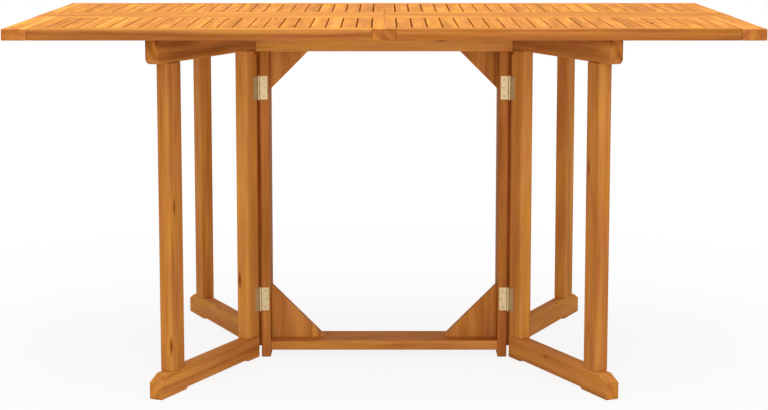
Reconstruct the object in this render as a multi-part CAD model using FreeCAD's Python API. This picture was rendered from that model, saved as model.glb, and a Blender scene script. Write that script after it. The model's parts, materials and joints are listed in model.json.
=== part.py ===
"""Butterfly folding table in slatted hardwood, millimetres.

A central box frame stands on two wide posts and carries a fixed centre board. Four gates swing
on butt hinges from the frame's corners and hold up four slatted flaps, which are hinged to the
centre board.

Origin: on the floor under the middle of the table. +X runs along the table's length, +Y to the
back and +Z up. The table is modelled open: flaps level, gates swung out under them.

Each quarter is made once, in the +X +Y quarter, and mirrored into the other three.
"""
import FreeCAD, Part
import os

# ---------------------------------------------------------------- driving dimensions

# the whole table, open
TABLE_LENGTH = 1500.0
TABLE_WIDTH = 900.0
TABLE_HEIGHT = 750.0

# tabletop boards
TOP_THICKNESS = 23.0
CENTRE_BOARD_WIDTH = 129.5
FLAP_GAP = 1.5                # open joint between the centre board and a flap
SEAM_GAP = 0.8                # open joint between the left and right halves
END_RAIL_WIDTH = 50.0
OUTER_RAIL_WIDTH = 40.0
INNER_RAIL_WIDTH = 40.25
SEAM_STILE_WIDTH = 22.8

# slats and the joints of a flap's frame
SLAT_COUNT = 22
SLAT_GAP = 3.0
SLAT_THICKNESS = 15.0
TONGUE_THICKNESS = 7.0
TONGUE_LENGTH = 8.0
TONGUE_BELOW_TOP = 7.0        # from the top surface down to the tongue
TENON_LENGTH = 12.0
TENON_WIDTH = 22.0
TENON_MARGIN = 6.0            # from a rail's plain long edge to its tenon

# central frame
FRAME_LENGTH = 539.0          # over the outer faces of the two posts
FRAME_DEPTH = 110.0
POST_THICKNESS = 20.0
BOTTOM_RAIL_DEPTH = 103.0
BOTTOM_RAIL_THICKNESS = 20.0
BOTTOM_RAIL_LIFT = 14.5       # from the floor to the rail's underside
TOP_RAIL_THICKNESS = 20.0
APRON_HEIGHT = 53.0
APRON_THICKNESS = 20.0
APRON_OVERHANG = 8.5          # past the posts' outer faces
STUB_LENGTH = 10.0            # stub tenon of the bottom rail in a post
STUB_THICKNESS = 8.0
STUB_WIDTH = 60.0
GUSSET_LEG = 120.0
GUSSET_THICKNESS = 22.0

# gates
GATE_REACH = 413.5            # from the hinge axis to the tip of the foot
GATE_OPEN_SWING = 65.4        # degrees from folded flat to open
GATE_THICKNESS = 30.0
GATE_POST_WIDTH = 47.0        # the hinged upright
GATE_LEG_WIDTH = 50.0         # the outer upright
GATE_LEG_SETBACK = 42.3       # from the foot's tip to the outer leg
FOOT_HEIGHT = 49.0
FOOT_RELIEF = 4.5             # hollow under the foot between its two pads
FOOT_OUTER_PAD = 98.0
FOOT_INNER_PAD = 49.0
FOOT_TOE_DROP = 13.0
FOOT_TOE_LENGTH = 28.0
GATE_RAIL_HEIGHT = 49.0
GATE_RAIL_ROUNDING = 12.0     # lower outer corner of a gate's top rail
GATE_TENON_DEPTH = 24.0
GATE_TENON_WIDTH = 20.0
GATE_TENON_THICKNESS = 12.0

# butt hinges
BARREL_RADIUS = 3.0
PIN_RADIUS = 1.5
PIN_HEAD_RADIUS = 2.4
PIN_HEAD_HEIGHT = 1.0
LEAF_THICKNESS = 1.5
LEAF_WIDTH = 16.0             # from the barrel to the leaf's free edge
LEAF_CORNER = 1.5
KNUCKLE_COUNT = 5
GATE_HINGE_HEIGHT = 51.0
GATE_HINGE_ABOVE_FOOT = 55.5  # from the top of the foot to the lower hinge
GATE_HINGE_BELOW_APRON = 53.0 # from the apron's lower edge to the upper hinge
FLAP_HINGE_LENGTH = 36.0
FLAP_HINGE_INNER_X = 95.0     # middle of the hinge near the seam

# wood screws
HINGE_SCREW_LENGTH = 14.0
HINGE_SCREW_RADIUS = 1.4
HINGE_SCREW_HEAD_RADIUS = 2.8
HINGE_SCREW_NEAR = 11.0       # from the hinge axis, outer screws of a leaf
HINGE_SCREW_FAR = 14.5        # from the hinge axis, middle screw of a leaf
GATE_SCREW_SPACING = 18.0
FLAP_SCREW_SPACING = 9.0
FRAME_SCREW_RADIUS = 2.2
FRAME_SCREW_HEAD_RADIUS = 4.2
POST_SCREW_LENGTH = 50.0
TOP_SCREW_LENGTH = 30.0
POST_SCREW_Y = 22.0
TOP_SCREW_X = (60.0, 200.0)
TOP_SCREW_Y = 22.0

# clearances
JOINT_CLEARANCE = 0.1         # all round a tenon or tongue
PIN_CLEARANCE = 0.05          # radial, of a pin in its knuckles
KNUCKLE_GAP = 0.3             # between neighbouring knuckles
LEAF_NOTCH_GAP = 0.4          # from the barrel to the other leaf's notch
SCREW_CLEARANCE = 0.05
GATE_TOP_CLEARANCE = 0.4      # under the tabletop, so that a gate can swing
GATE_POST_GAP = 1.8           # from a post's outer face to the hinge axis
GATE_END_CLEARANCE = 1.2      # from a post's outer face to a folded gate
APRON_CLEARANCE = 2.5         # from a folded gate to the ends of the aprons
RECESS_CLEARANCE = 0.5        # around a leaf let into an apron

# eased edges
TOP_EASE = 2.5
FRAME_EASE = 2.0
GATE_EASE = 5.0
SLAT_EASE = 1.8

# ---------------------------------------------------------------- worked-out places

HALF_LENGTH = TABLE_LENGTH / 2
HALF_WIDTH = TABLE_WIDTH / 2
TOP_Z = TABLE_HEIGHT
UNDER_Z = TOP_Z - TOP_THICKNESS

CENTRE_EDGE_Y = CENTRE_BOARD_WIDTH / 2
FLAP_EDGE_Y = CENTRE_EDGE_Y + FLAP_GAP
SEAM_X = SEAM_GAP / 2
STILE_X = SEAM_X + SEAM_STILE_WIDTH
END_RAIL_X = HALF_LENGTH - END_RAIL_WIDTH
SLAT_START_Y = FLAP_EDGE_Y + INNER_RAIL_WIDTH
SLAT_END_Y = HALF_WIDTH - OUTER_RAIL_WIDTH
SLAT_WIDTH = (END_RAIL_X - STILE_X - (SLAT_COUNT + 1) * SLAT_GAP) / SLAT_COUNT
TONGUE_TOP_Z = TOP_Z - TONGUE_BELOW_TOP
TONGUE_LOW_Z = TONGUE_TOP_Z - TONGUE_THICKNESS

POST_OUTER_X = FRAME_LENGTH / 2
POST_INNER_X = POST_OUTER_X - POST_THICKNESS
FRAME_Y = FRAME_DEPTH / 2
APRON_INNER_Y = FRAME_Y - APRON_THICKNESS
APRON_LOW_Z = UNDER_Z - APRON_HEIGHT
APRON_END_X = POST_OUTER_X + APRON_OVERHANG
TOP_RAIL_LOW_Z = UNDER_Z - TOP_RAIL_THICKNESS
BOTTOM_RAIL_TOP_Z = BOTTOM_RAIL_LIFT + BOTTOM_RAIL_THICKNESS
BOTTOM_RAIL_MID_Z = BOTTOM_RAIL_LIFT + BOTTOM_RAIL_THICKNESS / 2

# a folded gate lies flat behind its barrel's tangent plane, level with the frame's face
GATE_AXIS_X = POST_OUTER_X + GATE_POST_GAP
GATE_AXIS_Y = FRAME_Y + BARREL_RADIUS
GATE_FACE_Y = FRAME_Y
GATE_REAR_Y = GATE_FACE_Y - GATE_THICKNESS
GATE_MID_Y = (GATE_FACE_Y + GATE_REAR_Y) / 2
GATE_START_X = POST_OUTER_X + GATE_END_CLEARANCE
GATE_TIP_X = GATE_AXIS_X + GATE_REACH
GATE_RAIL_TOP_Z = UNDER_Z - GATE_TOP_CLEARANCE
GATE_RAIL_LOW_Z = GATE_RAIL_TOP_Z - GATE_RAIL_HEIGHT
GATE_RAIL_START_X = APRON_END_X + APRON_CLEARANCE
GATE_POST_END_X = GATE_START_X + GATE_POST_WIDTH
GATE_LEG_END_X = GATE_TIP_X - GATE_LEG_SETBACK
GATE_LEG_START_X = GATE_LEG_END_X - GATE_LEG_WIDTH
GATE_POST_TENON_X = (GATE_RAIL_START_X + GATE_POST_END_X) / 2
GATE_LEG_TENON_X = (GATE_LEG_START_X + GATE_LEG_END_X) / 2
GATE_HINGE_Z = (
    FOOT_HEIGHT + GATE_HINGE_ABOVE_FOOT + GATE_HINGE_HEIGHT / 2,
    APRON_LOW_Z - GATE_HINGE_BELOW_APRON - GATE_HINGE_HEIGHT / 2,
)

FLAP_AXIS_Y = (CENTRE_EDGE_Y + FLAP_EDGE_Y) / 2
FLAP_AXIS_Z = UNDER_Z - BARREL_RADIUS
FLAP_HINGE_X = (FLAP_HINGE_INNER_X, HALF_LENGTH - END_RAIL_WIDTH / 2)

ORIGIN = FreeCAD.Vector(0, 0, 0)
AXIS_X = FreeCAD.Vector(1, 0, 0)
AXIS_Y = FreeCAD.Vector(0, 1, 0)
AXIS_Z = FreeCAD.Vector(0, 0, 1)
QUARTERS = (("front_left", -1, -1), ("front_right", 1, -1), ("back_left", -1, 1), ("back_right", 1, 1))
OVERSHOOT = 1.0               # how far a cutting block runs past the wood

# ---------------------------------------------------------------- shaping helpers


def block(x_low, x_high, y_low, y_high, z_low, z_high):
    """A plain rectangular block between two corners."""
    corner = FreeCAD.Vector(x_low, y_low, z_low)
    return Part.makeBox(x_high - x_low, y_high - y_low, z_high - z_low, corner)


def edges_along(shape, direction):
    """The straight edges of a block that run along a direction."""
    found = []
    for edge in shape.Edges:
        run = edge.Vertexes[-1].Point - edge.Vertexes[0].Point
        if run.Length > 0 and run.cross(direction).Length < 1e-6 * run.Length:
            found.append(edge)
    return found


def eased_bar(corners, direction, radius):
    """A block whose long edges, along a direction, are rounded over."""
    bar = block(*corners)
    return bar.makeFillet(radius, edges_along(bar, direction))


def prism(points, y_low, y_high):
    """A flat outline of (x, z) points made solid between two depths."""
    corners = [FreeCAD.Vector(x, y_low, z) for x, z in points]
    outline = Part.makePolygon(corners + corners[:1])
    return Part.Face(outline).extrude(FreeCAD.Vector(0, y_high - y_low, 0))


def grown(corners, gap):
    """The corners of a block made bigger by a gap on every side."""
    x_low, x_high, y_low, y_high, z_low, z_high = corners
    return (x_low - gap, x_high + gap, y_low - gap, y_high + gap, z_low - gap, z_high + gap)


def to_quarter(shape, side_x, side_y):
    """Mirror a +X +Y piece into the quarter with these signs."""
    if side_x < 0:
        shape = shape.mirror(ORIGIN, AXIS_X)
    if side_y < 0:
        shape = shape.mirror(ORIGIN, AXIS_Y)
    return shape


def in_all_quarters(pieces):
    """Copies of +X +Y pieces in all four quarters."""
    return [to_quarter(piece, side_x, side_y) for _, side_x, side_y in QUARTERS for piece in pieces]


def swung_open(shape):
    """A piece of a folded gate, turned about the gate's hinge axis to its open place."""
    turned = shape.copy()
    turned.rotate(FreeCAD.Vector(GATE_AXIS_X, GATE_AXIS_Y, 0), AXIS_Z, GATE_OPEN_SWING)
    return turned


def write_node(name, pieces):
    """Write one node, of one or more separate solids."""
    solids = [solid for piece in pieces for solid in piece.Solids]
    shape = solids[0] if len(solids) == 1 else Part.makeCompound(solids)
    shape.exportStep("parts/" + name + ".step")


# ---------------------------------------------------------------- screws


def screw_blank(radius, head_radius, length, gap):
    """A countersunk screw's outline turned solid: head face at the origin, tip along +Z."""
    head_depth = head_radius - radius
    taper = 2 * radius
    profile = (
        (0, 0),
        (head_radius + gap, 0),
        (radius + gap, head_depth),
        (radius + gap, length - taper + gap),
        (0, length + gap),
    )
    corners = [FreeCAD.Vector(x, 0, z) for x, z in profile]
    face = Part.Face(Part.makePolygon(corners + corners[:1]))
    return face.revolve(ORIGIN, AXIS_Z, 360)


def aimed(shape, head_point, direction):
    """A screw shape moved so that its head is at a point and it points in a direction."""
    placed = shape.copy()
    placed.Placement = FreeCAD.Placement(head_point, FreeCAD.Rotation(AXIS_Z, direction))
    return placed


def screw(radius, head_radius, length, head_point, direction):
    """A wood screw with a cross recess in its head."""
    blank = screw_blank(radius, head_radius, length, 0)
    arm = 0.7 * head_radius
    slot = 0.15 * head_radius
    depth = 0.45 * head_radius
    cross = block(-arm, arm, -slot, slot, -OVERSHOOT, depth)
    cross = cross.fuse(block(-slot, slot, -arm, arm, -OVERSHOOT, depth))
    return aimed(blank.cut(cross), head_point, direction)


def screw_hole(radius, head_radius, length, head_point, direction):
    """The countersunk hole that a screw fills."""
    blank = screw_blank(radius, head_radius, length, SCREW_CLEARANCE)
    mouth = Part.makeCylinder(head_radius + SCREW_CLEARANCE, OVERSHOOT, ORIGIN, -AXIS_Z)
    return aimed(blank.fuse(mouth), head_point, direction)


HINGE_SCREW = (HINGE_SCREW_RADIUS, HINGE_SCREW_HEAD_RADIUS, HINGE_SCREW_LENGTH)
POST_SCREW = (FRAME_SCREW_RADIUS, FRAME_SCREW_HEAD_RADIUS, POST_SCREW_LENGTH)
TOP_SCREW = (FRAME_SCREW_RADIUS, FRAME_SCREW_HEAD_RADIUS, TOP_SCREW_LENGTH)


def gate_screw_points(side):
    """Head centres of a gate hinge's screws; side is -1 on the frame's leaf, 1 on the gate's."""
    points = []
    for middle in GATE_HINGE_Z:
        for step in (-1, 0, 1):
            reach = HINGE_SCREW_FAR if step == 0 else HINGE_SCREW_NEAR
            place = (GATE_AXIS_X + side * reach, FRAME_Y + LEAF_THICKNESS)
            points.append(FreeCAD.Vector(*place, middle + step * GATE_SCREW_SPACING))
    return points


def flap_screw_points(side):
    """Head centres of the flap hinges' screws; side is -1 on the centre board, 1 on the flap."""
    points = []
    for middle in FLAP_HINGE_X:
        for step in (-1, 1):
            reach = (HINGE_SCREW_NEAR + HINGE_SCREW_FAR) / 2
            x = middle + step * FLAP_SCREW_SPACING
            points.append(FreeCAD.Vector(x, FLAP_AXIS_Y + side * reach, UNDER_Z - LEAF_THICKNESS))
    return points


def post_screw_points():
    """Head centres of the screws through a post into the bottom rail."""
    return [FreeCAD.Vector(POST_OUTER_X, POST_SCREW_Y, BOTTOM_RAIL_MID_Z)]


def top_screw_points():
    """Head centres of the screws up through the frame's top rail into the centre board."""
    return [FreeCAD.Vector(x, TOP_SCREW_Y, TOP_RAIL_LOW_Z) for x in TOP_SCREW_X]


def screws(kind, points, direction):
    """One screw at each point."""
    return [screw(*kind, point, direction) for point in points]


def drilled(shape, kind, points, direction):
    """A piece with a screw hole at each point."""
    for point in points:
        shape = shape.cut(screw_hole(*kind, point, direction))
    return shape


# ---------------------------------------------------------------- hinges


def knuckles(length, first):
    """Every second knuckle of a barrel on the Z axis, starting with this one."""
    pitch = length / KNUCKLE_COUNT
    rings = []
    for index in range(first, KNUCKLE_COUNT, 2):
        low = index * pitch - length / 2 + (KNUCKLE_GAP / 2 if index > 0 else 0)
        high = (index + 1) * pitch - length / 2 - (KNUCKLE_GAP / 2 if index < KNUCKLE_COUNT - 1 else 0)
        rings.append((low, high))
    return rings


def hinge_leaf(length, first):
    """A leaf along +X from a barrel on the Z axis, its back on the plane y = -BARREL_RADIUS."""
    back = -BARREL_RADIUS
    front = back + LEAF_THICKNESS
    notch = BARREL_RADIUS + LEAF_NOTCH_GAP
    free_edge = BARREL_RADIUS + LEAF_WIDTH
    leaf = block(notch, free_edge, back, front, -length / 2, length / 2)
    corners = [edge for edge in edges_along(leaf, AXIS_Y) if edge.CenterOfMass.x > notch + LEAF_CORNER]
    leaf = leaf.makeFillet(LEAF_CORNER, corners)
    for low, high in knuckles(length, first):
        barrel = Part.makeCylinder(BARREL_RADIUS, high - low, FreeCAD.Vector(0, 0, low))
        neck = block(0, notch, back, front, low, high)
        leaf = leaf.fuse(barrel).fuse(neck)
    bore = Part.makeCylinder(PIN_RADIUS + PIN_CLEARANCE, length, FreeCAD.Vector(0, 0, -length / 2))
    return leaf.cut(bore).removeSplitter()


def hinge_pin(length):
    """A plain pin with a flat head at each end, through a barrel on the Z axis."""
    low = FreeCAD.Vector(0, 0, -length / 2 - PIN_HEAD_HEIGHT)
    pin = Part.makeCylinder(PIN_RADIUS, length + 2 * PIN_HEAD_HEIGHT, low)
    for start in (-length / 2 - PIN_HEAD_HEIGHT, length / 2):
        pin = pin.fuse(Part.makeCylinder(PIN_HEAD_RADIUS, PIN_HEAD_HEIGHT, FreeCAD.Vector(0, 0, start)))
    return pin.removeSplitter()


def at_gate_hinges(shape, side):
    """Copies of a hinge part at both gate hinges; side 1 is the gate's way, -1 the frame's."""
    copies = []
    for middle in GATE_HINGE_Z:
        part = shape.mirror(ORIGIN, AXIS_X) if side < 0 else shape.copy()
        part.translate(FreeCAD.Vector(GATE_AXIS_X, GATE_AXIS_Y, middle))
        copies.append(part)
    return copies


def at_flap_hinges(shape, side):
    """Copies of a hinge part under both flap hinges; side 1 is the flap's way, -1 the centre's."""
    copies = []
    for middle in FLAP_HINGE_X:
        part = shape.copy()
        leaf_up = FreeCAD.Rotation(AXIS_Y * side, -AXIS_Z, AXIS_X * -side, "XYZ")
        part.Placement = FreeCAD.Placement(FreeCAD.Vector(middle, FLAP_AXIS_Y, FLAP_AXIS_Z), leaf_up)
        copies.append(part)
    return copies


# ---------------------------------------------------------------- central frame


def frame_post():
    """The +X post: a wide board on the floor, with a narrower head between the aprons."""
    bar = (POST_INNER_X, POST_OUTER_X, -FRAME_Y, FRAME_Y, 0, APRON_LOW_Z)
    post = eased_bar(bar, AXIS_Z, FRAME_EASE)
    head = block(POST_INNER_X, POST_OUTER_X, -APRON_INNER_Y, APRON_INNER_Y, APRON_LOW_Z, TOP_RAIL_LOW_Z)
    post = post.fuse(head)
    post = post.cut(block(*grown(rail_stub(), JOINT_CLEARANCE)))
    for side in (-1, 1):
        points = [FreeCAD.Vector(p.x, side * p.y, p.z) for p in post_screw_points()]
        post = drilled(post, POST_SCREW, points, -AXIS_X)
        points = [FreeCAD.Vector(p.x, side * p.y, p.z) for p in gate_screw_points(-1)]
        post = drilled(post, HINGE_SCREW, points, AXIS_Y * -side)
    return post


def rail_stub():
    """Corners of the bottom rail's +X stub tenon."""
    half = STUB_THICKNESS / 2
    z_low, z_high = BOTTOM_RAIL_MID_Z - half, BOTTOM_RAIL_MID_Z + half
    return (POST_INNER_X, POST_INNER_X + STUB_LENGTH, -STUB_WIDTH / 2, STUB_WIDTH / 2, z_low, z_high)


def frame_bottom_rail():
    """The flat board between the feet of the posts."""
    half = BOTTOM_RAIL_DEPTH / 2
    bar = (-POST_INNER_X, POST_INNER_X, -half, half, BOTTOM_RAIL_LIFT, BOTTOM_RAIL_TOP_Z)
    rail = eased_bar(bar, AXIS_X, FRAME_EASE)
    stub = block(*rail_stub())
    rail = rail.fuse(stub).fuse(stub.mirror(ORIGIN, AXIS_X))
    for _, side_x, side_y in QUARTERS:
        points = [FreeCAD.Vector(side_x * p.x, side_y * p.y, p.z) for p in post_screw_points()]
        rail = drilled(rail, POST_SCREW, points, AXIS_X * -side_x)
    return rail


def frame_top_rail():
    """The flat board over the heads of the posts, between the aprons."""
    rail = block(-POST_OUTER_X, POST_OUTER_X, -APRON_INNER_Y, APRON_INNER_Y, TOP_RAIL_LOW_Z, UNDER_Z)
    for _, side_x, side_y in QUARTERS:
        points = [FreeCAD.Vector(side_x * p.x, side_y * p.y, p.z) for p in top_screw_points()]
        rail = drilled(rail, TOP_SCREW, points, AXIS_Z)
    return rail


def apron():
    """The +Y apron, with a shallow recess in its top edge for each flap hinge's leaf."""
    bar = (-APRON_END_X, APRON_END_X, APRON_INNER_Y, FRAME_Y, APRON_LOW_Z, UNDER_Z)
    board = eased_bar(bar, AXIS_X, FRAME_EASE)
    half = FLAP_HINGE_LENGTH / 2 + RECESS_CLEARANCE
    inner = FLAP_AXIS_Y - BARREL_RADIUS - LEAF_WIDTH - RECESS_CLEARANCE
    floor = UNDER_Z - LEAF_THICKNESS - JOINT_CLEARANCE
    for middle in (-FLAP_HINGE_INNER_X, FLAP_HINGE_INNER_X):
        x_low, x_high = middle - half, middle + half
        board = board.cut(block(x_low, x_high, inner, FRAME_Y + OVERSHOOT, floor, UNDER_Z + OVERSHOOT))
    return board


def gussets():
    """The four triangular corner boards inside the frame."""
    half = GUSSET_THICKNESS / 2
    boards = []
    for corner_z, up in ((BOTTOM_RAIL_TOP_Z, 1), (TOP_RAIL_LOW_Z, -1)):
        points = (
            (POST_INNER_X, corner_z),
            (POST_INNER_X - GUSSET_LEG, corner_z),
            (POST_INNER_X, corner_z + up * GUSSET_LEG),
        )
        board = prism(points, -half, half)
        boards += [board, board.mirror(ORIGIN, AXIS_X)]
    return boards


def centre_board():
    """The +X half of the fixed centre board."""
    bar = (SEAM_X, HALF_LENGTH, -CENTRE_EDGE_Y, CENTRE_EDGE_Y, UNDER_Z, TOP_Z)
    board = eased_bar(bar, AXIS_X, TOP_EASE)
    for side in (-1, 1):
        points = [FreeCAD.Vector(p.x, side * p.y, p.z) for p in top_screw_points()]
        board = drilled(board, TOP_SCREW, points, AXIS_Z)
        points = [FreeCAD.Vector(p.x, side * p.y, p.z) for p in flap_screw_points(-1)]
        board = drilled(board, HINGE_SCREW, points, AXIS_Z)
    return board


# ---------------------------------------------------------------- gates, made folded flat


def gate_tenon(middle_x, z_low, z_high):
    """Corners of an upright's tenon."""
    half_x = GATE_TENON_WIDTH / 2
    half_y = GATE_TENON_THICKNESS / 2
    return (middle_x - half_x, middle_x + half_x, GATE_MID_Y - half_y, GATE_MID_Y + half_y, z_low, z_high)


def foot_tenon(middle_x):
    """Corners of an upright's lower tenon."""
    return gate_tenon(middle_x, FOOT_HEIGHT - GATE_TENON_DEPTH, FOOT_HEIGHT)


def head_tenon(middle_x):
    """Corners of an upright's upper tenon."""
    return gate_tenon(middle_x, GATE_RAIL_LOW_Z, GATE_RAIL_LOW_Z + GATE_TENON_DEPTH)


def upright(x_low, x_high, tenon_x):
    """A gate's post or leg with its two tenons."""
    bar = (x_low, x_high, GATE_REAR_Y, GATE_FACE_Y, FOOT_HEIGHT, GATE_RAIL_LOW_Z)
    wood = eased_bar(bar, AXIS_Z, GATE_EASE)
    for corners in (foot_tenon(tenon_x), head_tenon(tenon_x)):
        wood = wood.fuse(block(*corners))
    return wood.removeSplitter()


def gate_inner_post():
    """The hinged upright, notched at the top so that it clears the aprons when folded."""
    post = upright(GATE_START_X, GATE_POST_END_X, GATE_POST_TENON_X)
    notch_z = APRON_LOW_Z - APRON_CLEARANCE
    notch = (GATE_START_X - OVERSHOOT, GATE_RAIL_START_X, GATE_REAR_Y - OVERSHOOT, GATE_FACE_Y + OVERSHOOT)
    post = post.cut(block(*notch, notch_z, GATE_RAIL_LOW_Z + OVERSHOOT))
    return drilled(post, HINGE_SCREW, gate_screw_points(1), -AXIS_Y)


def gate_outer_leg():
    """The upright near the gate's tip."""
    return upright(GATE_LEG_START_X, GATE_LEG_END_X, GATE_LEG_TENON_X)


def gate_foot():
    """The foot, on two pads, with a sloped toe and a mortise for each upright."""
    relief_start = GATE_START_X + FOOT_INNER_PAD
    relief_end = GATE_TIP_X - FOOT_OUTER_PAD
    points = (
        (GATE_START_X, 0),
        (relief_start, 0),
        (relief_start + FOOT_RELIEF, FOOT_RELIEF),
        (relief_end - FOOT_RELIEF, FOOT_RELIEF),
        (relief_end, 0),
        (GATE_TIP_X, 0),
        (GATE_TIP_X, FOOT_HEIGHT - FOOT_TOE_DROP),
        (GATE_TIP_X - FOOT_TOE_LENGTH, FOOT_HEIGHT),
        (GATE_START_X, FOOT_HEIGHT),
    )
    foot = prism(points, GATE_REAR_Y, GATE_FACE_Y)
    foot = foot.makeFillet(GATE_EASE, [edge for edge in foot.Edges if is_upper_side_edge(edge)])
    for middle in (GATE_POST_TENON_X, GATE_LEG_TENON_X):
        foot = foot.cut(block(*grown(foot_tenon(middle), JOINT_CLEARANCE)))
    return foot


def is_upper_side_edge(edge):
    """True for the edges between a foot's top or toe and its two side faces."""
    ends = [vertex.Point for vertex in edge.Vertexes]
    level = min(end.z for end in ends) >= FOOT_HEIGHT - FOOT_TOE_DROP - 1e-6
    return level and abs(ends[0].y - ends[1].y) < 1e-6


def gate_top_rail():
    """The rail that carries a flap, with its lower outer corner rounded."""
    bar = (GATE_RAIL_START_X, GATE_TIP_X, GATE_REAR_Y, GATE_FACE_Y, GATE_RAIL_LOW_Z, GATE_RAIL_TOP_Z)
    rail = block(*bar)
    corner = [e for e in edges_along(rail, AXIS_Y) if e.CenterOfMass.x > GATE_TIP_X - 1e-6]
    corner = [e for e in corner if e.CenterOfMass.z < GATE_RAIL_LOW_Z + 1e-6]
    rail = rail.makeFillet(GATE_RAIL_ROUNDING, corner)
    rail = rail.makeFillet(GATE_EASE, edges_along(rail, AXIS_X))
    for middle in (GATE_POST_TENON_X, GATE_LEG_TENON_X):
        rail = rail.cut(block(*grown(head_tenon(middle), JOINT_CLEARANCE)))
    return rail


def gate_hinge_leaves():
    """The moving leaves of a gate's two hinges, with their screws."""
    leaf = hinge_leaf(GATE_HINGE_HEIGHT, 1)
    leaves = at_gate_hinges(leaf, 1)
    leaves = [drilled(each, HINGE_SCREW, gate_screw_points(1), -AXIS_Y) for each in leaves]
    return leaves + screws(HINGE_SCREW, gate_screw_points(1), -AXIS_Y)


# ---------------------------------------------------------------- flaps


def rail_tenon(x_low, x_high, plain_edge, inward):
    """Corners of a long rail's tenon; inward is the way from its plain edge to its groove."""
    edges = sorted((plain_edge + inward * TENON_MARGIN, plain_edge + inward * (TENON_MARGIN + TENON_WIDTH)))
    return (x_low, x_high, *edges, TONGUE_LOW_Z, TONGUE_TOP_Z)


def flap_tenons():
    """Corners of the four tenons that hold a flap's frame together."""
    corners = []
    for plain_edge, inward in ((HALF_WIDTH, -1), (FLAP_EDGE_Y, 1)):
        corners.append(rail_tenon(STILE_X - TENON_LENGTH, STILE_X, plain_edge, inward))
        corners.append(rail_tenon(END_RAIL_X, END_RAIL_X + TENON_LENGTH, plain_edge, inward))
    return corners


def long_rail(y_low, y_high, groove_y, tenons):
    """A flap's long rail, with a groove for the slats' tongues and a tenon at each end."""
    rail = eased_bar((STILE_X, END_RAIL_X, y_low, y_high, UNDER_Z, TOP_Z), AXIS_X, TOP_EASE)
    z_low, z_high = TONGUE_LOW_Z - JOINT_CLEARANCE, TONGUE_TOP_Z + JOINT_CLEARANCE
    groove = block(STILE_X - OVERSHOOT, END_RAIL_X + OVERSHOOT, *sorted(groove_y), z_low, z_high)
    rail = rail.cut(groove)
    for corners in tenons:
        rail = rail.fuse(block(*corners))
    return rail


def flap_outer_rail():
    """The rail along the table's edge."""
    groove_y = (SLAT_END_Y - OVERSHOOT, SLAT_END_Y + TONGUE_LENGTH + JOINT_CLEARANCE)
    return long_rail(SLAT_END_Y, HALF_WIDTH, groove_y, flap_tenons()[:2])


def flap_inner_rail():
    """The rail along the centre board, which carries the inner hinge."""
    groove_y = (SLAT_START_Y + OVERSHOOT, SLAT_START_Y - TONGUE_LENGTH - JOINT_CLEARANCE)
    rail = long_rail(FLAP_EDGE_Y, SLAT_START_Y, groove_y, flap_tenons()[2:])
    points = [point for point in flap_screw_points(1) if point.x < END_RAIL_X]
    return drilled(rail, HINGE_SCREW, points, AXIS_Z)


def flap_end_rail():
    """The wide rail across the end of the table, which carries the outer hinge."""
    board = eased_bar((END_RAIL_X, HALF_LENGTH, FLAP_EDGE_Y, HALF_WIDTH, UNDER_Z, TOP_Z), AXIS_Y, TOP_EASE)
    for corners in flap_tenons():
        board = board.cut(block(*grown(corners, JOINT_CLEARANCE)))
    points = [point for point in flap_screw_points(1) if point.x > END_RAIL_X]
    return drilled(board, HINGE_SCREW, points, AXIS_Z)


def flap_seam_stile():
    """The narrow stile beside the seam in the middle of the table."""
    board = eased_bar((SEAM_X, STILE_X, FLAP_EDGE_Y, HALF_WIDTH, UNDER_Z, TOP_Z), AXIS_Y, TOP_EASE)
    for corners in flap_tenons():
        board = board.cut(block(*grown(corners, JOINT_CLEARANCE)))
    return board


def flap_slats():
    """The row of slats, each with a tongue at both ends."""
    slats = []
    for index in range(SLAT_COUNT):
        x_low = STILE_X + SLAT_GAP + index * (SLAT_WIDTH + SLAT_GAP)
        x_high = x_low + SLAT_WIDTH
        bar = (x_low, x_high, SLAT_START_Y, SLAT_END_Y, TOP_Z - SLAT_THICKNESS, TOP_Z)
        slat = eased_bar(bar, AXIS_Y, SLAT_EASE)
        y_low, y_high = SLAT_START_Y - TONGUE_LENGTH, SLAT_END_Y + TONGUE_LENGTH
        core = (x_low + SLAT_EASE, x_high - SLAT_EASE, y_low, y_high, TONGUE_LOW_Z, TONGUE_TOP_Z)
        slats.append(slat.fuse(block(*core)).removeSplitter())
    return slats


def flap_hinge_leaves():
    """The moving leaves of a flap's two hinges, with their screws."""
    leaves = at_flap_hinges(hinge_leaf(FLAP_HINGE_LENGTH, 1), 1)
    leaves = [drilled(each, HINGE_SCREW, flap_screw_points(1), AXIS_Z) for each in leaves]
    return leaves + screws(HINGE_SCREW, flap_screw_points(1), AXIS_Z)


# ---------------------------------------------------------------- fixed hinge parts


def gate_frame_leaves():
    """The fixed leaves of one gate's two hinges."""
    leaves = at_gate_hinges(hinge_leaf(GATE_HINGE_HEIGHT, 0), -1)
    return [drilled(each, HINGE_SCREW, gate_screw_points(-1), -AXIS_Y) for each in leaves]


def flap_centre_leaves():
    """The fixed leaves of one flap's two hinges."""
    leaves = at_flap_hinges(hinge_leaf(FLAP_HINGE_LENGTH, 0), -1)
    return [drilled(each, HINGE_SCREW, flap_screw_points(-1), AXIS_Z) for each in leaves]


def frame_hinge_screws():
    """The screws of one quarter's fixed leaves."""
    found = screws(HINGE_SCREW, gate_screw_points(-1), -AXIS_Y)
    return found + screws(HINGE_SCREW, flap_screw_points(-1), AXIS_Z)


def frame_wood_screws():
    """The longer screws of one quarter, through the post and up through the top rail."""
    found = screws(POST_SCREW, post_screw_points(), -AXIS_X)
    return found + screws(TOP_SCREW, top_screw_points(), AXIS_Z)


# ---------------------------------------------------------------- nodes


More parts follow.
